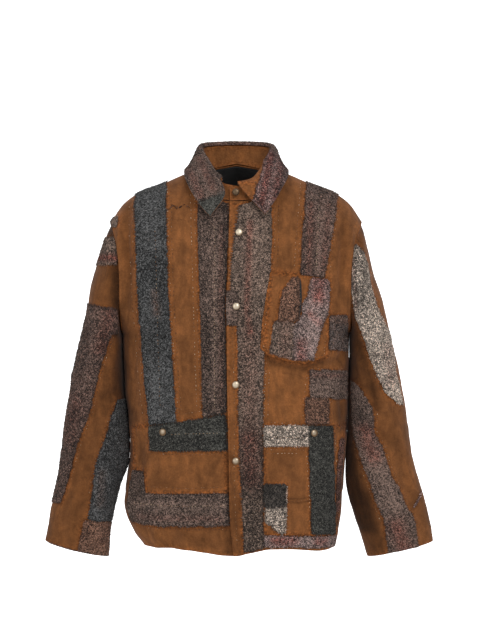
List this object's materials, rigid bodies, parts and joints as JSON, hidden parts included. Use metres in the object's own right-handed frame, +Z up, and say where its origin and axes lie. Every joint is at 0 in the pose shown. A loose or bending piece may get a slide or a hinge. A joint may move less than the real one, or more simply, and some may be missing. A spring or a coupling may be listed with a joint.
{
  "type": "patched boro jacket",
  "caption": "Snap-front shirt jacket in brown cloth with stitched tweed strips and patches, a folded collar, open cuffs and patch pockets, filled out with no wearer.",
  "frame": {"origin": "middle of the neck, level with the tops of the shoulder seams, where the shoulders carry the jacket", "axes": "front faces -Y, the wearer's left is +X, +Z up"},
  "size_m": [0.737, 0.2648, 0.7947],
  "materials": {
    "brown_cloth": "matt brushed cotton with a short suede-like nap, faded at the seams",
    "charcoal_boro": "dense stitched tweed, charcoal flecked with blue-grey, frayed edges",
    "mauve_boro": "dense stitched tweed, mauve-brown flecked with grey and maroon, frayed edges",
    "taupe_boro": "dense stitched tweed, taupe flecked with pale grey, frayed edges",
    "cream_boro": "dense stitched tweed, cream-grey with darker threads, frayed edges",
    "teal_boro": "dense stitched tweed, dark teal-charcoal, frayed edges",
    "lilac_boro": "dense stitched tweed, lilac-grey with maroon threads, frayed edges",
    "maroon_boro": "dense stitched tweed, maroon-brown flecked with grey, frayed edges",
    "black_cloth": "matt black stitched cloth",
    "black_lining": "smooth black lining with a faint sheen",
    "snap_brass": "pale worn antique brass",
    "snap_bronze": "dark bronzed brass"
  },
  "bodies": {
    "root": {"back": "brown_cloth", "back_lining": "black_lining", "band_right_hem": "mauve_boro", "chest_pocket": "brown_cloth", "collar_fall": "brown_cloth", "collar_patch_back": "mauve_boro", "collar_patch_left": "lilac_boro", "collar_patch_right": "mauve_boro", "collar_patch_tip": "teal_boro", "collar_stand": "brown_cloth", "front_left": "brown_cloth", "front_right": "brown_cloth", "hem_strip_left": "lilac_boro", "patch_left_armhole": "charcoal_boro", "patch_left_band": "mauve_boro", "patch_left_maroon": "maroon_boro", "patch_over_placket": "mauve_boro", "patch_right_shoulder_end": "taupe_boro", "placket": "brown_cloth", "pocket_left": "brown_cloth", "pocket_left_black": "black_cloth", "pocket_left_cream": "cream_boro", "pocket_left_grey": "cream_boro", "pocket_left_side_strip": "mauve_boro", "pocket_left_teal": "teal_boro", "pocket_patch_lilac": "lilac_boro", "pocket_patch_maroon": "maroon_boro", "pocket_patch_taupe": "taupe_boro", "pocket_right": "brown_cloth", "pocket_right_band": "teal_boro", "sleeve_left": "brown_cloth", "sleeve_left_cream": "cream_boro", "sleeve_left_mauve": "mauve_boro", "sleeve_right": "brown_cloth", "sleeve_right_band": "taupe_boro", "sleeve_right_charcoal": "charcoal_boro", "sleeve_right_cuff": "maroon_boro", "sleeve_right_strip": "mauve_boro", "snap_1": "snap_brass", "snap_2": "snap_brass", "snap_3": "snap_brass", "snap_4": "snap_brass", "snap_collar": "snap_bronze", "snap_pocket_left": "snap_brass", "snap_pocket_right": "snap_brass", "strip_beside_placket": "taupe_boro", "strip_left_shoulder": "mauve_boro", "strip_right_middle": "mauve_boro", "strip_right_shoulder": "charcoal_boro"}
  },
  "joints": []
}
